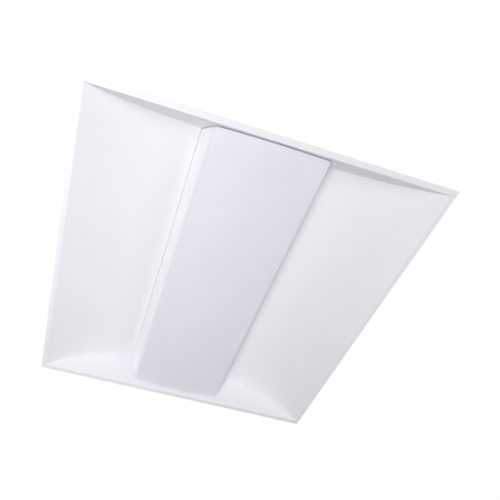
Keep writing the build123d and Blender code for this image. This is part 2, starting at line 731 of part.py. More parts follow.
# Supply connector: two halves that pull apart, poles for the driver and for the supply.
split_y = hinge_y - connector_from_door
connector_z = tray_top + connector_height / 2
connector_poles = [connector_x + x for x in spread(2, connector_pitch)]
for name, way, radius, depth in (
    ("supply_connector_plug", 1, lead_radius + pole_gap, pole_depth),
    ("supply_connector_socket", -1, field_hole, field_hole_depth),
):
    with BuildPart() as connector:
        middle = (connector_x, split_y + way * connector_length / 2)
        plate([middle], connector_width, connector_length, tray_top, connector_height)
        fillet(edges().filter_by(Axis.Y), connector_round)
        mouths = [(x, split_y + way * connector_length, connector_z, -way) for x in connector_poles]
        tunnel(mouths, radius, depth)
    keep(connector.part, name)

# Leads, each from its terminal to its plug.
input_y = near_face - terminal_depth + pole_depth
plug_end = split_y + connector_length
supply_run = (input_y - plug_end) / 4
for name, driver_pole, plug_pole in (
    ("line_lead", input_poles[0], connector_poles[0]),
    ("neutral_lead", input_poles[1], connector_poles[1]),
):
    wire = lead([
        (driver_pole, input_y, pole_level),
        (driver_pole, input_y - supply_run, pole_level),
        (plug_pole, plug_end + supply_run, connector_z),
        (plug_pole, plug_end - pole_depth, connector_z),
    ])
    keep(wire, name)

ring_edge = ground_x - lug_radius
barrel_end = ring_edge - lug_neck - barrel_length
barrel_z = tray_top + barrel_radius
wire = lead([
    (input_poles[2], input_y, pole_level),
    (input_poles[2], input_y - short_run, pole_level),
    (barrel_end - lug_run, ground_y, barrel_z),
    (barrel_end + pole_depth, ground_y, barrel_z),
])
keep(wire, "ground_lead")

output_y = far_face + terminal_depth - pole_depth
plug_mouth = board_centre - plug_length / 2
for name, pole_x, side in (
    ("led_lead_positive", output_poles[0], -1),
    ("led_lead_negative", output_poles[1], 1),
):
    wire = lead([
        (pole_x, output_y, pole_level),
        (pole_x, bushing_y, pole_level),
        (pole_x, bushing_y, lead_drop),
        (side * (plug_mouth - short_run), plug_y, pole_z),
        (side * (plug_mouth + pole_depth), plug_y, pole_z),
    ])
    keep(wire, name)

jumper_end = plug_mouth + pole_depth
keep(lead([(-jumper_end, -plug_y, pole_z), (jumper_end, -plug_y, pole_z)]), "board_jumper")

with BuildPart() as jumper_saddle:
    saddle_height = tray_z - pole_z + lead_radius + saddle_gap + saddle_wall
    plate([(0, -plug_y)], saddle_length, saddle_width, tray_z - saddle_height, saddle_height)
    fillet(edges().filter_by(Axis.X).group_by(Axis.Z)[0], lead_radius)
    with BuildSketch(Plane(origin=(-saddle_length / 2, -plug_y, pole_z), z_dir=(1, 0, 0))) as eye:
        Circle(lead_radius + saddle_gap)
    extrude(eye.sketch, amount=saddle_length, mode=Mode.SUBTRACT)
keep(jumper_saddle.part, "jumper_saddle")

# Ground lug: a ring under the screw, and a barrel on the lead.
with BuildPart() as ground_lug:
    discs([(ground_x, ground_y)], lug_radius, tray_top, lug_sheet)
    neck_length = ground_x - barrel_end
    plate([(ground_x - neck_length / 2, ground_y)], neck_length, 2 * barrel_radius, tray_top, lug_sheet)
    with BuildSketch(Plane(origin=(barrel_end, ground_y, barrel_z), z_dir=(1, 0, 0))) as barrel:
        Circle(barrel_radius)
    extrude(barrel.sketch, amount=barrel_length)
    discs([(ground_x, ground_y)], screw_shank + screw_gap, tray_top, lug_sheet, Mode.SUBTRACT)
    with BuildSketch(Plane(origin=(barrel_end, ground_y, barrel_z), z_dir=(1, 0, 0))) as bore:
        Circle(lead_radius + screw_gap)
    extrude(bore.sketch, amount=pole_depth, mode=Mode.SUBTRACT)
keep(ground_lug.part, "ground_lug")

# Screws
with BuildPart() as end_plate_screws:
    hex_screws(end_screw_spots, tray_top + sheet, 2 * sheet + tray_sheet + screw_point)
    hex_screws(top_screw_spots, channel_top + sheet, 2 * sheet + screw_point)
keep(end_plate_screws.part, "end_plate_screws")

with BuildPart() as channel_screws:
    hex_screws(channel_screw_spots, tray_top + sheet, sheet + tray_sheet + screw_point)
keep(channel_screws.part, "channel_screws")

with BuildPart() as access_door_screw:
    hex_screws([(0, door_screw_y)], channel_top + sheet, 2 * sheet + screw_point)
keep(access_door_screw.part, "access_door_screw")

with BuildPart() as ground_screw:
    hex_screws([(ground_x, ground_y)], tray_top + lug_sheet, lug_sheet + tray_sheet + screw_point)
keep(ground_screw.part, "ground_screw")
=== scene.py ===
import json
import math
import bmesh
import bpy
from mathutils import Euler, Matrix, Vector


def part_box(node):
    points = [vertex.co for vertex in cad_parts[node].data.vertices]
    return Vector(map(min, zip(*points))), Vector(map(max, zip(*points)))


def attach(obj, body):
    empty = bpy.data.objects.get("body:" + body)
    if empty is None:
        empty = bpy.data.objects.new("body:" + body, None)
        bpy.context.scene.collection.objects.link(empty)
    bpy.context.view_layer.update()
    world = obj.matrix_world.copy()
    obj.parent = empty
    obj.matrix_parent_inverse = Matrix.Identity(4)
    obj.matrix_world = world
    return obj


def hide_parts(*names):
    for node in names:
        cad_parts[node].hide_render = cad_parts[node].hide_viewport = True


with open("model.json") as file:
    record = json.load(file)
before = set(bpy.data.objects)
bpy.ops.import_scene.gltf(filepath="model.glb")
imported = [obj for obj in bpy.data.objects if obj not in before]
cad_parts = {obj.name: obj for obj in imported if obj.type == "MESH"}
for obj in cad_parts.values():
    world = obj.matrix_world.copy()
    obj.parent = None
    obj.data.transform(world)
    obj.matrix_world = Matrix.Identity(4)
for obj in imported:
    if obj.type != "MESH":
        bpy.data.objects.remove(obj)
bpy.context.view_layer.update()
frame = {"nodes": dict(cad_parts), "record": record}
print("frame loaded:", len(frame["nodes"]), "nodes")

mm = 0.001
scene = bpy.context.scene
nodes = frame["nodes"]
bodyOf = {node: body for body, group in frame["record"]["behaviour"]["bodies"].items() for node in group}
slotOf = {part["node"]: part["material_slot"] for part in frame["record"]["subparts"]}


# sRGB hex, such as #F2F3F6, to the linear colour that a shader wants
def linear(code):
    parts = [int(code[i:i + 2], 16) / 255 for i in (1, 3, 5)]
    return [c / 12.92 if c <= 0.04045 else ((c + 0.055) / 1.055) ** 2.4 for c in parts] + [1.0]


# a texture's scale for a feature of this many millimetres
def perMm(size):
    return 1000 / size


# a word that the node knows is a setting, and any other key is one of its sockets
def addNode(tree, kind, settings=None, links=None):
    node = tree.nodes.new(kind)
    for key, value in (settings or {}).items():
        if isinstance(key, str) and hasattr(node, key):
            setattr(node, key, value)
        else:
            node.inputs[key].default_value = value
    for key, source in (links or {}).items():
        tree.links.new(source, node.inputs[key])
    return node


def newMaterial(name):
    material = bpy.data.materials.new(name)
    material.use_nodes = True
    tree = material.node_tree
    tree.nodes.clear()
    shader = addNode(tree, "ShaderNodeBsdfPrincipled")
    addNode(tree, "ShaderNodeOutputMaterial", links={"Surface": shader.outputs["BSDF"]})
    place = addNode(tree, "ShaderNodeTexCoord").outputs["Object"]
    return material, tree, shader, place


# one pattern carries the colour and the gloss together, from the first of each to the second
def mottle(tree, shader, pattern, colours, roughness):
    tone = addNode(tree, "ShaderNodeMix",
                   {"data_type": "RGBA", 6: linear(colours[0]), 7: linear(colours[1])}, {0: pattern})
    tree.links.new(tone.outputs[2], shader.inputs["Base Color"])
    gloss = addNode(tree, "ShaderNodeMapRange", {"To Min": roughness[0], "To Max": roughness[1]},
                    {"Value": pattern})
    tree.links.new(gloss.outputs["Result"], shader.inputs["Roughness"])


# a fine relief that breaks up the highlights, and gives its pattern back
def relief(tree, shader, place, sizeMm, depthMm, detail=2.0, strength=1.0):
    grain = addNode(tree, "ShaderNodeTexNoise", {"Scale": perMm(sizeMm), "Detail": detail},
                    {"Vector": place})
    raised = addNode(tree, "ShaderNodeBump", {"Strength": strength, "Distance": depthMm * mm},
                     {"Height": grain.outputs["Fac"]})
    tree.links.new(raised.outputs["Normal"], shader.inputs["Normal"])
    return grain.outputs["Fac"]


enamel = {
    "colours": ("#F4F5F9", "#F0F1F6"),             # a cool white, and the same a little clouded
    "cloudMm": 90, "roughness": (0.40, 0.48), "ior": 1.5,
    "peelMm": 2.6, "peelDepthMm": 0.006,           # orange peel, left as the powder flows
}


# Polyester powder coat, baked on steel: an even satin white with a faint, shallow orange peel
def powderCoat():
    material, tree, shader, place = newMaterial("whitePowderCoat")
    shader.inputs["IOR"].default_value = enamel["ior"]
    cloud = addNode(tree, "ShaderNodeTexNoise", {"Scale": perMm(enamel["cloudMm"]), "Detail": 3.0},
                    {"Vector": place})
    mottle(tree, shader, cloud.outputs["Fac"], enamel["colours"], enamel["roughness"])
    relief(tree, shader, place, enamel["peelMm"], enamel["peelDepthMm"])
    return material


opal = {
    "face": ("#ECEBF4", "#E6E4EF"),                # faintly lavender when unlit
    # the flanks' painted highlight colour, and the band across which it sets in
    "flank": "#F9F9FC", "flankMm": (95.0, 100.0),  # measured from the middle of the light
    "cloudMm": 140, "roughness": 0.55, "ior": 1.49,
    "depthMm": (2.0, 1.8, 2.2), "depthShare": 0.12,
    "drawMm": 5.0, "drawDepthMm": 0.004,           # die lines along the extrusion
    "drawn": (1.0, 0.02, 1.0),
}


# Opal acrylic, extruded: light sinks in a little, so edges look soft, and faint draw lines run along it.
# Its flanks are painted whiter than its face: a painted highlight, standing in for the light that falls on
# them from the side.
def opalAcrylic():
    material, tree, shader, place = newMaterial("satinOpalAcrylic")
    shader.inputs["Roughness"].default_value = opal["roughness"]
    shader.inputs["IOR"].default_value = opal["ior"]
    shader.inputs["Subsurface Weight"].default_value = opal["depthShare"]
    shader.inputs["Subsurface Radius"].default_value = [depth * mm for depth in opal["depthMm"]]
    shader.inputs["Subsurface Scale"].default_value = 1.0
    cloud = addNode(tree, "ShaderNodeTexNoise", {"Scale": perMm(opal["cloudMm"]), "Detail": 2.0},
                    {"Vector": place})
    face = addNode(tree, "ShaderNodeMix",
                   {"data_type": "RGBA", 6: linear(opal["face"][0]), 7: linear(opal["face"][1])},
                   {0: cloud.outputs["Fac"]}).outputs[2]
    # painted highlight: the colour turns whiter towards both flanks, by distance across from the middle
    across = addNode(tree, "ShaderNodeSeparateXYZ", links={"Vector": place}).outputs["X"]
    across = addNode(tree, "ShaderNodeMath", {"operation": "ABSOLUTE"}, {0: across}).outputs[0]
    turn = addNode(tree, "ShaderNodeMapRange", {
        "interpolation_type": "SMOOTHSTEP",
        "From Min": opal["flankMm"][0] * mm, "From Max": opal["flankMm"][1] * mm,
    }, {"Value": across}).outputs["Result"]
    tone = addNode(tree, "ShaderNodeMix", {"data_type": "RGBA", 7: linear(opal["flank"])},
                   {0: turn, 6: face})
    tree.links.new(tone.outputs[2], shader.inputs["Base Color"])
    along = addNode(tree, "ShaderNodeMapping", {"Scale": opal["drawn"]}, {"Vector": place})
    relief(tree, shader, along.outputs["Vector"], opal["drawMm"], opal["drawDepthMm"])
    return material


zinc = {
    "colours": ("#BFC3C7", "#9A9FA5"), "roughness": (0.34, 0.52),
    "spangleMm": 11, "fineMm": 3.2, "fineShare": 0.35,    # large crystals, and small ones grown in them
    "raggedMm": 2.5, "raggedReachMm": 4.0,                # how far an edge wanders, and over what length
    "frostMm": 0.9, "frostDepthMm": 0.01, "frostStrength": 0.5,
}


# Hot-dip galvanised steel: ragged crystals of zinc, each with its own grey and its own gloss
def galvanisedSheet():
    material, tree, shader, place = newMaterial("galvanisedSteel")
    shader.inputs["Metallic"].default_value = 1.0
    wander = addNode(tree, "ShaderNodeTexNoise", {"Scale": perMm(zinc["raggedReachMm"]), "Detail": 3.0},
                     {"Vector": place})
    ragged = addNode(tree, "ShaderNodeVectorMath",
                     {"operation": "MULTIPLY_ADD", 1: [zinc["raggedMm"] * mm] * 3},
                     {0: wander.outputs["Color"], 2: place}).outputs["Vector"]
    tones = []
    for size in (zinc["spangleMm"], zinc["fineMm"]):
        crystals = addNode(tree, "ShaderNodeTexVoronoi", {"Scale": perMm(size)}, {"Vector": ragged})
        split = addNode(tree, "ShaderNodeSeparateColor", links={"Color": crystals.outputs["Color"]})
        tones.append(split.outputs["Red"])
    tone = addNode(tree, "ShaderNodeMix", {0: zinc["fineShare"]}, {2: tones[0], 3: tones[1]}).outputs[0]
    mottle(tree, shader, tone, zinc["colours"], zinc["roughness"])
    relief(tree, shader, place, zinc["frostMm"], zinc["frostDepthMm"], 3.0, zinc["frostStrength"])
    return material


worked = {
    "drawn": (0.06, 1.0, 1.0), "grainDepthMm": 0.004, "grainStrength": 0.6,
    "glossier": 0.06, "duller": 0.08,              # roughness, to either side of its middle
}


# Plated, rolled or headed metal: a fine grain drawn out one way under a thin bright layer
def workedMetal(name, colours, roughness, grainMm):
    material, tree, shader, place = newMaterial(name)
    shader.inputs["Metallic"].default_value = 1.0
    along = addNode(tree, "ShaderNodeMapping", {"Scale": worked["drawn"]}, {"Vector": place})
    grain = relief(tree, shader, along.outputs["Vector"], grainMm, worked["grainDepthMm"], 4.0,
                   worked["grainStrength"])
    mottle(tree, shader, grain, colours, (roughness - worked["glossier"], roughness + worked["duller"]))
    return material


moulded = {"ior": 1.55, "glossier": 0.03, "duller": 0.04}


# Moulded plastic, or a thin smooth coat: an even colour, with the fine grain of the mould or the roller
def mouldedOrCoated(name, colours, roughness, grainMm=0.7, grainDepthMm=0.01, cloudMm=14):
    material, tree, shader, place = newMaterial(name)
    shader.inputs["IOR"].default_value = moulded["ior"]
    cloud = addNode(tree, "ShaderNodeTexNoise", {"Scale": perMm(cloudMm), "Detail": 2.0},
                    {"Vector": place})
    mottle(tree, shader, cloud.outputs["Fac"], colours,
           (roughness - moulded["glossier"], roughness + moulded["duller"]))
    relief(tree, shader, place, grainMm, grainDepthMm)
    return material


finishes = {
    "white_enamel": powderCoat(),
    # coil coat, rolled on before the sheet is folded: flatter and a little glossier than powder
    "white_tray": mouldedOrCoated("whiteCoilCoat", ("#F1F1F0", "#ECECEC"), 0.35,
                                  grainMm=3.0, grainDepthMm=0.004, cloudMm=80),
    "opal_acrylic": opalAcrylic(),
    "galvanised_sheet": galvanisedSheet(),
    # strip, rivets and screws: cold bluish zinc, darker sprung steel, paler aluminium
    "zinc_steel": workedMetal("brightZincStrip", ("#B6BABF", "#989DA4"), 0.32, grainMm=0.8),
    "spring_steel": workedMetal("rolledSpringStrip", ("#A0A2A6", "#7E8186"), 0.28, grainMm=0.5),
    "rivet_aluminium": workedMetal("headedAluminium", ("#C9CBCE", "#AEB0B3"), 0.34, grainMm=0.6),
    "zinc_screw": workedMetal("brightZincPlate", ("#B4B8BE", "#92989F"), 0.27, grainMm=0.4),
    # dyed zinc plate: a deep, slightly glassy green
    "green_screw": mouldedOrCoated("greenDyedZinc", ("#1C7A3B", "#15662F"), 0.32, grainMm=0.4),
    # hot-tinned brass: silvery, with the yellow showing through
    "tinned_brass": workedMetal("tinnedBrass", ("#C9C5B6", "#ABA793"), 0.33, grainMm=0.5),
    # printed solder mask: satin, and a little uneven
    "board_mask": mouldedOrCoated("whiteSolderMask", ("#F0F0EC", "#E8E9E4"), 0.34,
                                  grainMm=1.6, grainDepthMm=0.006, cloudMm=30),
    # silicone loaded with phosphor: a wet-looking egg yellow
    "led_phosphor": mouldedOrCoated("phosphorSilicone", ("#F2D873", "#E9C95A"), 0.22,
                                    grainMm=0.3, grainDepthMm=0.006, cloudMm=2),
    # nylon, natural and dyed: waxy and rather dull
    "white_nylon": mouldedOrCoated("naturalNylon", ("#EAE7DE", "#E1DED4"), 0.48),
    "black_nylon": mouldedOrCoated("blackNylon", ("#1D1D1E", "#151516"), 0.45),
    # stoved enamel on the driver's case: neutral white, with a broad soft ripple
    "driver_enamel": mouldedOrCoated("stovedEnamel", ("#EBEBE9", "#E3E3E1"), 0.36,
                                     grainMm=2.2, grainDepthMm=0.006, cloudMm=60),
    "circuit_green": mouldedOrCoated("greenSolderMask", ("#1B5E36", "#154D2B"), 0.30,
                                     grainMm=1.2, grainDepthMm=0.006, cloudMm=20),
    # polycarbonate: crisp, and glossier than nylon
    "terminal_grey": mouldedOrCoated("greyPolycarbonate", ("#A7AAA9", "#9A9D9C"), 0.38),
    "orange_polycarbonate": mouldedOrCoated("orangePolycarbonate", ("#E8741E", "#DC6814"), 0.28),
}
# extruded PVC, smooth from the die, in each lead's colour
for colour, tones in (
    ("black", ("#18181A", "#101012")), ("white", ("#E9E8E4", "#DFDEDA")),
    ("green", ("#1F7C3E", "#186A33")), ("red", ("#B5241F", "#A31C18")), ("blue", ("#1E4499", "#183A86")),
):
    finishes[colour + "_lead"] = mouldedOrCoated(colour + "Pvc", tones, 0.36,
                                                 grainMm=0.5, grainDepthMm=0.004)

for node, slot in slotOf.items():
    for holder in nodes[node].material_slots:
        holder.material = finishes[slot]
print("finishes made:", len(finishes))

# from here on, sizes and places are in millimetres until a mesh is made
making = {
    "joinMm": 0.001,                               # corners nearer than this are one corner
    "flatAngle": 1,                                # a seam flatter than this goes
    "sharpAngle": 30, "easedSteps": 2,             # an edge sharper than this is eased
}


def at(x, y, z):
    return Vector((x, y, z)) * mm


def onCircle(centre, reach, angle, height):
    return at(centre[0] + reach * math.cos(angle), centre[1] + reach * math.sin(angle), height)


def boxMm(node):
    low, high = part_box(node)
    return low / mm, high / mm


# a CAD node's mesh with its split corners joined again
def joinedMesh(node):
    bm = bmesh.new()
    bm.from_mesh(nodes[node].data)
    bmesh.ops.remove_doubles(bm, verts=bm.verts, dist=making["joinMm"] * mm)
    return bm


# lowest and highest corners of each separate solid in a node
def islands(node):
    bm = joinedMesh(node)
    bm.verts.index_update()
    found = []
    seen = set()
    for first in bm.verts:
        if first.index in seen:
            continue
        seen.add(first.index)
        group = [first]
        for vert in group:
            for edge in vert.link_edges:
                other = edge.other_vert(vert)
                if other.index not in seen:
                    seen.add(other.index)
                    group.append(other)
        corners = [v.co / mm for v in group]
        found.append((Vector([min(c[i] for c in corners) for i in range(3)]),
                      Vector([max(c[i] for c in corners) for i in range(3)])))
    bm.free()
    return found


def newPiece(name, data, node, slot=None, smoothAngle=35, stands=True):
    piece = bpy.data.objects.new(name, data)
    scene.collection.objects.link(piece)
    slot = slot or slotOf[node]
    data.materials.clear()
    data.materials.append(finishes[slot])
    if piece.type == "MESH":
        data.shade_smooth()
        data.set_sharp_from_angle(angle=math.radians(smoothAngle))
    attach(piece, bodyOf[node])
    if stands:
        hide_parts(node)


def fromBmesh(name, bm, node, **rest):
    bmesh.ops.recalc_face_normals(bm, faces=bm.faces)
    data = bpy.data.meshes.new(name)
    bm.to_mesh(data)
    bm.free()
    newPiece(name, data, node, **rest)


# rings of equal count joined into a skin, from the first to the last
def skin(bm, rings, capped=True):
    for upper, lower in zip(rings, rings[1:]):
        for k in range(len(upper)):
            n = (k + 1) % len(upper)
            bm.faces.new((upper[k], upper[n], lower[n], lower[k]))
    if capped:
        bm.faces.new(rings[0])
        bm.faces.new(rings[-1][::-1])


# a turned shape: profile is (radius, height) from one end to the other, about an upright line,
# and a radius may be a function of the angle, for a head or a recess that isn't round
def turned(bm, centre, profile, sides, hollow=False):
    rings = []
    for radius, height in profile:
        ring = []
        for k in range(sides):
            angle = math.tau * k / sides
            reach = radius(angle) if callable(radius) else radius
            ring.append(bm.verts.new(onCircle(centre, reach, angle, height)))
        rings.append(ring)
    skin(bm, rings + rings[:1] if hollow else rings, capped=not hollow)


def block(bm, low, high):
    corners = [[bm.verts.new(at(x, y, z)) for x, y in
                ((low[0], low[1]), (high[0], low[1]), (high[0], high[1]), (low[0], high[1]))]
               for z in (low[2], high[2])]
    skin(bm, corners)


def bevelled(bm, width):
    sharp = [edge for edge in bm.edges
             if len(edge.link_faces) == 2 and edge.calc_face_angle(0) > math.radians(making["sharpAngle"])]
    bmesh.ops.bevel(bm, geom=sharp, offset=width * mm, segments=making["easedSteps"], profile=0.5,
                    affect="EDGES", clamp_overlap=True)


# the CAD solid with its edges eased, as a press tool or a mould leaves them
def eased(name, node, width):
    bm = joinedMesh(node)
    flat = math.radians(making["flatAngle"])
    bmesh.ops.dissolve_limit(bm, angle_limit=flat, verts=bm.verts, edges=bm.edges)
    bevelled(bm, width)
    fromBmesh(name, bm, node)


# a path with its corners rounded, for strip that is bent round a former:
# a bend takes no more than this share of the run on either side of it
def roundedPath(points, radius, steps=5, share=0.45):
    path = [Vector(points[0])]
    for before, corner, after in zip(points, points[1:], points[2:]):
        before, corner, after = Vector(before), Vector(corner), Vector(after)
        into, out = (corner - before).normalized(), (after - corner).normalized()
        turn = into.angle(out)
        cut = min(radius * math.tan(turn / 2), share * (corner - before).length,
                  share * (after - corner).length)
        start, end = corner - into * cut, corner + out * cut
        for k in range(steps + 1):
            t = k / steps
            path.append(start * (1 - t) ** 2 + corner * 2 * t * (1 - t) + end * t ** 2)
    return path + [Vector(points[-1])]


# strip along a path of (run, rise) from its origin, the run going one way or the other along x.
# Its half width may be a function of the run, and its bead, pressed up, of the run and the place across.
def pressedStrip(bm, path, thick, halfWidth, origin, way, bead=None, columns=4):
    rings = []
    for k, point in enumerate(path):
        ahead = path[min(k + 1, len(path) - 1)] - path[max(k - 1, 0)]
        normal = Vector((-ahead.y, ahead.x)).normalized()
        half = halfWidth(point.x) if callable(halfWidth) else halfWidth
        top, bottom = [], []
        for c in range(columns + 1):
            across = (2 * c / columns - 1) * half
            lift = bead(point.x, across) if bead else 0.0
            for side, row in ((0.5, top), (-0.5, bottom)):
                spot = point + normal * (side * thick + lift)
                corner = at(origin[0] + way * spot.x, origin[1] + across, origin[2] + spot.y)
                row.append(bm.verts.new(corner))
        rings.append(top + bottom[::-1])
    skin(bm, rings)


rolledThread = {"ringsPerPitch": 6, "crestSharpness": 3, "tipShare": 0.3}


# a rolled thread from the head to the tip: its crest climbs one pitch in each turn
def thread(bm, centre, start, tip, size):
    low, high = sorted((start, tip))
    count = int((high - low) / size["pitch"] * rolledThread["ringsPerPitch"])
    tipShare = rolledThread["tipShare"]
    rings = []
    for k in range(count + 1):
        z = low + (high - low) * k / count
        fade = min(1.0, tipShare + (1 - tipShare) * abs(z - tip) / size["tip"])
        ring = []
        for j in range(size["sides"]):
            phase = (z / size["pitch"] + j / size["sides"]) % 1
            crest = max(0.0, 1 - rolledThread["crestSharpness"] * abs(phase - 0.5))
            reach = (size["core"] + (size["thread"] - size["core"]) * crest) * fade
            ring.append(bm.verts.new(onCircle(centre, reach, math.tau * j / size["sides"], z)))
        rings.append(ring)
    skin(bm, rings)


# how far a hexagonal head reaches at an angle, and the same with its corners turned off
def hexReach(angle):
    sixth = math.pi / 3
    return hexScrew["corner"] * math.cos(sixth / 2) / math.cos(angle % sixth - sixth / 2)


def crownReach(angle):
    return min(hexReach(angle), hexScrew["crown"])


# a cross recess: four arms, a quarter turn apart, eased at the edge and narrower at the foot
def crossReach(angle):
    quarter = math.pi / 2
    offArm = abs((angle + quarter / 2) % quarter - quarter / 2)
    return panScrew["recess"] * (1.0 if offArm < panScrew["armAngle"] else panScrew["rootShare"])


def recessEdge(angle):
    return crossReach(angle) + panScrew["easing"]


def recessFoot(angle):
    return panScrew["footShare"] * crossReach(angle)


# heads are profiles of (radius, distance from the head's end)
hexScrew = {
    "corner": 4.2, "crown": 3.85,
    "head": ((1.95, 2.4), (4.9, 2.4), (4.9, 2.04), (4.5, 1.8), (hexReach, 1.8), (hexReach, 0.55),
             (crownReach, 0.0), (2.9, 0.0), (2.6, 0.45), (0.4, 0.45)),
    "thread": 1.95, "core": 1.45, "pitch": 1.4, "tip": 1.9,
    "sides": 24, "smoothAngle": 28, "headUp": True,
}
panScrew = {
    "recess": 1.5, "armAngle": 0.25, "rootShare": 0.42, "easing": 0.12, "footShare": 0.7,
    "head": ((1.45, 1.3), (2.7, 1.3), (2.7, 0.7), (2.322, 0.25), (1.782, 0.0), (recessEdge, 0.0),
             (recessFoot, 0.8)),
    "thread": 1.45, "core": 1.1, "pitch": 1.0, "tip": 0.3,
    "sides": 16, "smoothAngle": 35, "headUp": False,
}


def screws(name, node, size):
    bm = bmesh.new()
    for low, high in islands(node):
        centre = (low + high) / 2
        end, tip, way = (high.z, low.z, -1) if size["headUp"] else (low.z, high.z, 1)
        head = [(radius, end + way * inset) for radius, inset in size["head"]]
        turned(bm, centre, head, size["sides"])
        thread(bm, centre, head[0][1], tip, size)
    fromBmesh(name, bm, node, smoothAngle=size["smoothAngle"])


for name, node in (
    ("endPlateScrews", "end_plate_screws"), ("channelScrews", "channel_screws"),
    ("driverScrews", "driver_screws"), ("accessDoorScrew", "access_door_screw"),
    ("groundScrew", "ground_screw"),
):
    screws(name, node, hexScrew)
screws("boardScrews", "board_screws", panScrew)
print("screws made")


# pins with a head at each end: each head is a profile of (radius, distance from that end)
def headedPins(name, node, size, hollow=False):
    bm = bmesh.new()
    for low, high in islands(node):
        lower = [(radius, low.z + inset) for radius, inset in size["lower"]]
        upper = [(radius, high.z - inset) for radius, inset in size["upper"]]
        shank = [(size["shank"], lower[-1][1]), (size["shank"], upper[0][1])]
        turned(bm, (low + high) / 2, lower + shank + upper, size["sides"], hollow)
    fromBmesh(name, bm, node)


# solid rivets that the grid clips turn on: a dome above, and a tail rolled over below
pivotRivet = {
    "lower": ((1.12, 1.2), (1.4, 0.4), (2.32, 0.0), (3.2, 0.15), (4.0, 0.7), (4.0, 1.2)),
    "shank": 2.5,
    "upper": ((4.45, 1.5), (4.6, 1.3), (4.37, 0.85), (3.45, 0.35), (2.07, 0.08), (0.9, 0.0)),
    "sides": 24,
}
headedPins("gridClipRivets", "grid_clip_rivets", pivotRivet)

# blind rivets: the mandrel's stub shows in a dimple at both ends
blindRivet = {
    "lower": ((0.72, 0.5), (0.9, 0.1), (1.68, 0.0), (2.52, 0.3), (2.8, 0.7), (2.8, 0.9)),
    "shank": 1.6,
    "upper": ((2.8, 0.9), (2.8, 0.6), (2.38, 0.25), (1.4, 0.0), (0.9, 0.1), (0.72, 0.4)),
    "sides": 20,
}
headedPins("lensSpringRivets", "lens_spring_rivets", blindRivet)

# a clip of strip with a round end at its pivot, a pressed bead and a hooked tip
gridClip = {
    "thick": 1.0, "half": 6.5, "narrowest": 0.3, "roundSteps": 6,
    "length": 34.0, "straight": 31, "hook": 8.0, "bendRadius": 2.2,
    "bead": 0.7, "beadHalf": 2.2, "beadRun": (9, 28), "beadFade": 3, "columns": 12,
}


def clipHalfWidth(run):
    half = gridClip["half"]
    return half if run >= 0 else max(gridClip["narrowest"], math.sqrt(max(0.0, half ** 2 - run ** 2)))


def clipBead(run, across):
    start, end = gridClip["beadRun"]
    along = max(0.0, min(1.0, (run - start) / gridClip["beadFade"], (end - run) / gridClip["beadFade"]))
    crown = max(0.0, math.cos(min(1, abs(across) / gridClip["beadHalf"]) * math.pi / 2)) ** 2
    return gridClip["bead"] * along * crown


for name, node, side in (
    ("nearLeftGridClip", "near_left_grid_clip", -1), ("nearRightGridClip", "near_right_grid_clip", 1),
    ("farLeftGridClip", "far_left_grid_clip", -1), ("farRightGridClip", "far_right_grid_clip", 1),
):
    low, high = boxMm(node)
    half, steps = gridClip["half"], gridClip["roundSteps"]
    pivotX = high.x - half if side > 0 else low.x + half
    pivot = (pivotX, (low.y + high.y) / 2, high.z - gridClip["thick"] / 2)
    tip = gridClip["length"] - gridClip["thick"] / 2
    arc = [(-half * math.cos(math.pi / 2 * k / steps), 0.0) for k in range(steps)]
    straight = [(run, 0.0) for run in range(gridClip["straight"])]
    hook = roundedPath([(gridClip["straight"], 0.0), (tip, 0.0), (tip, -gridClip["hook"])],
                       gridClip["bendRadius"])
    path = [Vector(p) for p in arc + straight] + hook
    bm = bmesh.new()
    pressedStrip(bm, path, gridClip["thick"], clipHalfWidth, pivot, -side, clipBead, gridClip["columns"])
    fromBmesh(name, bm, node)

# springs that hold the lens's legs: bends are (from the middle of the light, up from the flange)
lensSpring = {
    "thick": 0.5, "half": 7.0, "radius": 1.3,
    "bends": [(99.2, 61.75), (106.75, 61.75), (106.75, 59.2), (109.6, 56.0), (106.9, 51.4), (105.6, 50.9)],
}
bm = bmesh.new()
springPath = roundedPath(lensSpring["bends"], lensSpring["radius"])
for low, high in islands("lens_springs"):
    side = 1 if low.x > 0 else -1
    middle = (0, (low.y + high.y) / 2, 0)
    pressedStrip(bm, springPath, lensSpring["thick"], lensSpring["half"], middle, side)
fromBmesh("lensSprings", bm, "lens_springs")

# a bushing that snaps into the tray, with rounded rims so that leads don't chafe
bushing = {
    "lower": ((4.6, 0.4), (5.0, 0.0), (8.5, 0.0), (9.0, 0.5), (9.0, 1.2)),
    "shank": 6.9,
    "upper": ((9.0, 1.2), (9.0, 0.6), (8.4, 0.0), (5.1, 0.0), (4.6, 0.5)),
    "sides": 40,
}
headedPins("trayBushing", "tray_bushing", bushing, hollow=True)
print("rivets, clips, springs and bushing made")

# each package: a white frame with a round well, a phosphor dome in the well, and solder at both ends
package = {
    "wide": 2.8, "long": 3.5, "draft": 0.16, "frontEdge": 0.1,
    "well": 1.15, "wellEdge": 0.12, "wellDepth": 0.35,
    "dome": 0.2, "domeAngles": (0, 0.35, 0.7, 1.05, 1.4), "sides": 16,
    "padHalf": 1.2, "padReach": 0.55, "padThick": 0.12,
}
tinnedRing = {"inner": 1.6, "outer": 3.9, "thick": 0.05, "sides": 28}


# how far the rectangle reaches at an angle, and no division by nothing where a side is square on
def packageReach(angle, draft=0.0, tiny=1e-6):
    wide, long = package["wide"] - draft, package["long"] - draft
    return min(wide / 2 / max(abs(math.cos(angle)), tiny), long / 2 / max(abs(math.sin(angle)), tiny))


def packageFront(angle):
    return packageReach(angle, package["draft"])


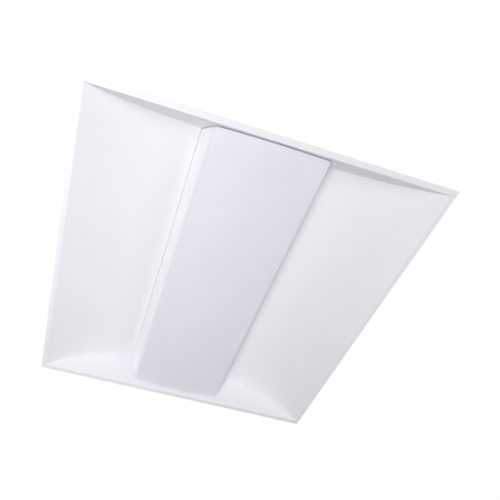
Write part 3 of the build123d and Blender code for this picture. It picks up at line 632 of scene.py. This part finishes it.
for side in ("left", "right"):
    node = side + "_leds"
    frames, domes, pads = bmesh.new(), bmesh.new(), bmesh.new()
    for low, high in islands(node):
        centre = (low + high) / 2
        wellFloor = low.z + package["wellDepth"]
        turned(frames, centre, [
            (packageReach, high.z), (packageReach, low.z + package["frontEdge"]), (packageFront, low.z),
            (package["well"] + package["wellEdge"], low.z), (package["well"], wellFloor),
        ], package["sides"])
        turned(domes, centre, [
            (package["well"] * math.cos(angle), wellFloor - package["dome"] * math.sin(angle))
            for angle in package["domeAngles"]
        ], package["sides"])
        for way in (-1, 1):
            edge = centre.y + way * package["long"] / 2
            tip = edge + way * package["padReach"]
            block(pads, (centre.x - package["padHalf"], min(edge, tip), high.z - package["padThick"]),
                  (centre.x + package["padHalf"], max(edge, tip), high.z))
    fromBmesh(side + "LedFrames", frames, node, slot="white_nylon")
    fromBmesh(side + "LedDomes", domes, node, slot="led_phosphor", smoothAngle=60)
    # tinned rings round this board's screws, on the face that the heads bear on
    for low, high in islands("board_screws"):
        if (low.x < 0) == (side == "left"):
            face = low.z + panScrew["head"][0][1]
            front = face - tinnedRing["thick"]
            turned(pads, (low + high) / 2, [
                (tinnedRing["inner"], face), (tinnedRing["outer"], face),
                (tinnedRing["outer"], front), (tinnedRing["inner"], front),
            ], tinnedRing["sides"], hollow=True)
    fromBmesh(side + "BoardPads", pads, node, slot="tinned_brass", stands=False)
print("light engine dressed")

# how far each piece's edges are eased
for name, node, width in (
    ("boardPlugs", "board_plugs", 0.35), ("jumperSaddle", "jumper_saddle", 0.3),
    ("driverInputTerminals", "driver_input_terminals", 0.3),
    ("driverOutputTerminals", "driver_output_terminals", 0.3),
    ("supplyConnectorPlug", "supply_connector_plug", 0.35),
    ("supplyConnectorSocket", "supply_connector_socket", 0.35),
    ("driverLid", "driver_lid", 0.5), ("driverBase", "driver_base", 0.25),
    ("groundLug", "ground_lug", 0.15), ("accessDoor", "access_door", 0.18),
):
    eased(name, node, width)

# push levers over the lead entries
lever = {"pitch": 5.0, "wide": 3.2, "long": 4.6, "high": 1.1, "back": 1.2, "eased": 0.3}
for name, node, count, way in (
    ("inputLevers", "driver_input_terminals", 3, 1), ("outputLevers", "driver_output_terminals", 2, -1),
):
    low, high = boxMm(node)
    bm = bmesh.new()
    for k in range(count):
        x = (low.x + high.x) / 2 + lever["pitch"] * (k - (count - 1) / 2)
        y = (low.y + high.y) / 2 + way * lever["back"]
        block(bm, (x - lever["wide"] / 2, y - lever["long"] / 2, high.z),
              (x + lever["wide"] / 2, y + lever["long"] / 2, high.z + lever["high"]))
    bevelled(bm, lever["eased"])
    fromBmesh(name, bm, node, slot="white_nylon", stands=False)

# ribs to hold the connector by, on its flanks and its top
grip = {
    "pitch": 2.4, "count": 4, "wide": 0.9, "eased": 0.18,
    "flankProud": 0.5, "flankInset": 2.2, "topProud": 0.4, "topSunk": 0.2, "topInset": 3,
}
for name, node in (("plugGrip", "supply_connector_plug"), ("socketGrip", "supply_connector_socket")):
    low, high = boxMm(node)
    bm = bmesh.new()
    for k in range(grip["count"]):
        y = (low.y + high.y) / 2 + grip["pitch"] * (k - (grip["count"] - 1) / 2)
        front, back = y - grip["wide"] / 2, y + grip["wide"] / 2
        for x in (low.x, high.x):
            block(bm, (x - grip["flankProud"], front, low.z + grip["flankInset"]),
                  (x + grip["flankProud"], back, high.z - grip["flankInset"]))
        block(bm, (low.x + grip["topInset"], front, high.z - grip["topSunk"]),
              (high.x - grip["topInset"], back, high.z + grip["topProud"]))
    bevelled(bm, grip["eased"])
    fromBmesh(name, bm, node, stands=False)

# leads: control points, from one end to the other
lead = {"radius": 1.1, "roundness": 4, "smoothness": 16}
routes = {
    "lineLead": ("line_lead", [
        (-13, -43.92, 71.6), (-13, -71.46, 71.6), (30.5, -126.54, 69.1), (30.5, -159.08, 69.1),
    ]),
    "neutralLead": ("neutral_lead", [
        (-8, -43.92, 71.6), (-8, -71.46, 71.6), (37.5, -126.54, 69.1), (37.5, -159.08, 69.1),
    ]),
    "groundLead": ("ground_lead", [
        (-3, -43.92, 71.6), (-3, -57.92, 71.6), (29.8, -106.08, 65.6), (51.8, -106.08, 65.6),
    ]),
    "ledLeadPositive": ("led_lead_positive", [
        (-10.5, 200.08, 71.6), (-10.5, 223.08, 71.6), (-10.5, 223.08, 53), (-24.5, 243.89, 59.25),
        (-43.5, 243.89, 59.25),
    ]),
    "ledLeadNegative": ("led_lead_negative", [
        (-5.5, 200.08, 71.6), (-5.5, 223.08, 71.6), (-5.5, 223.08, 53), (24.5, 243.89, 59.25),
        (43.5, 243.89, 59.25),
    ]),
    "boardJumper": ("board_jumper", [
        (-43.5, -243.89, 59.25), (0, -243.89, 59.25), (43.5, -243.89, 59.25),
    ]),
}
for name, (node, route) in routes.items():
    curve = bpy.data.curves.new(name, "CURVE")
    curve.dimensions = "3D"
    curve.bevel_depth = lead["radius"] * mm
    curve.bevel_resolution = lead["roundness"]
    curve.resolution_u = lead["smoothness"]
    curve.use_fill_caps = True
    line = curve.splines.new("NURBS")
    line.points.add(len(route) - 1)
    for point, spot in zip(line.points, route):
        point.co = (*at(*spot), 1)
    line.order_u = 3
    line.use_endpoint_u = True
    newPiece(name, curve, node)
print("driver and wiring dressed")

studio = {
    "cameraMm": (-147.7, -373.3, -551.2), "cameraTurn": (150.94, -1.96, -16.15), "clipMm": 10,
    "lensMm": 25.82, "shift": 0.128,               # the object sits left of the frame's middle
    "aimMm": (0, 0, 20), "ambient": 0.13,
    "floorMm": -2400.0, "floorRadiusMm": 9000, "floorSides": 96,
    "floorColour": "#E4E4E6", "floorRoughness": 0.9,
    "fadeMm": (500, 2600), "floorGlow": 0.7,       # the floor fades to white over this distance
}
scene.view_settings.view_transform = "Standard"
cameraData = bpy.data.cameras.new("photoCamera")
cameraData.lens = studio["lensMm"]
cameraData.shift_x = studio["shift"]
cameraData.clip_start = studio["clipMm"] * mm
camera = bpy.data.objects.new("photoCamera", cameraData)
camera.location = at(*studio["cameraMm"])
camera.rotation_euler = Euler([math.radians(a) for a in studio["cameraTurn"]])
scene.collection.objects.link(camera)
scene.camera = camera


# 1 where the backdrop is looked at: straight, in a mirror or through glass
def lookedAt(tree):
    rays = addNode(tree, "ShaderNodeLightPath").outputs
    seen = rays["Is Camera Ray"]
    for kind in ("Is Glossy Ray", "Is Transmission Ray"):
        seen = addNode(tree, "ShaderNodeMath", {"operation": "MAXIMUM"},
                       {0: seen, 1: rays[kind]}).outputs[0]
    return seen


# the sky lights the object softly, and is plain white where it is looked at
world = bpy.data.worlds.new("studio")
world.use_nodes = True
scene.world = world
tree = world.node_tree
tree.nodes.clear()
soft = addNode(tree, "ShaderNodeBackground", {"Color": (1, 1, 1, 1), "Strength": studio["ambient"]})
white = addNode(tree, "ShaderNodeBackground", {"Color": (1, 1, 1, 1), "Strength": 1.0})
both = addNode(tree, "ShaderNodeMixShader",
               links={0: lookedAt(tree), 1: soft.outputs[0], 2: white.outputs[0]})
addNode(tree, "ShaderNodeOutputWorld", links={"Surface": both.outputs[0]})

# grids on the back lamps keep their light off the floor
lamps = {
    "main": {"placeMm": (-500, 0, -1200), "sizeMm": 600, "watts": 8.2, "spread": 180},
    "near": {"placeMm": (-620, -745, -870), "sizeMm": 750, "watts": 5.25, "spread": 180},
    "right": {"placeMm": (1500, -900, -900), "sizeMm": 900, "watts": 11.2, "spread": 180},
    "backNear": {"placeMm": (-800, -1100, 1000), "sizeMm": 900, "watts": 3.1, "spread": 70},
    "backFar": {"placeMm": (800, 1100, 1000), "sizeMm": 900, "watts": 2.7, "spread": 70},
}
for name, lamp in lamps.items():
    data = bpy.data.lights.new(name, "AREA")
    data.size = lamp["sizeMm"] * mm
    data.spread = math.radians(lamp["spread"])
    data.energy = lamp["watts"]
    light = bpy.data.objects.new(name, data)
    light.location = at(*lamp["placeMm"])
    light.rotation_euler = (at(*studio["aimMm"]) - light.location).to_track_quat("-Z", "Y").to_euler()
    light.visible_camera = False
    scene.collection.objects.link(light)

# a pale matt floor that keeps the shadow, and fades to white away from it where it is looked at
bpy.ops.mesh.primitive_circle_add(vertices=studio["floorSides"], radius=studio["floorRadiusMm"] * mm,
                                  fill_type="NGON", location=(0, 0, studio["floorMm"] * mm))
floor = bpy.context.object
floor.name = "studioFloor"
floorPaint, tree, shader, place = newMaterial("paleFloor")
shader.inputs["Base Color"].default_value = linear(studio["floorColour"])
shader.inputs["Roughness"].default_value = studio["floorRoughness"]
away = addNode(tree, "ShaderNodeVectorMath", {"operation": "LENGTH"}, {0: place}).outputs["Value"]
fade = addNode(tree, "ShaderNodeMapRange", {
    "interpolation_type": "SMOOTHSTEP",
    "From Min": studio["fadeMm"][0] * mm, "From Max": studio["fadeMm"][1] * mm,
    "To Min": studio["floorGlow"], "To Max": 1.0,
}, {"Value": away}).outputs["Result"]
share = addNode(tree, "ShaderNodeMath", {"operation": "MULTIPLY"},
                {0: fade, 1: lookedAt(tree)}).outputs[0]
glow = addNode(tree, "ShaderNodeEmission", {"Strength": 1.0}).outputs[0]
ground = addNode(tree, "ShaderNodeMixShader",
                 links={0: share, 1: shader.outputs["BSDF"], 2: glow}).outputs[0]
tree.links.new(ground, tree.nodes["Material Output"].inputs["Surface"])
floor.data.materials.append(floorPaint)
print("studio set")
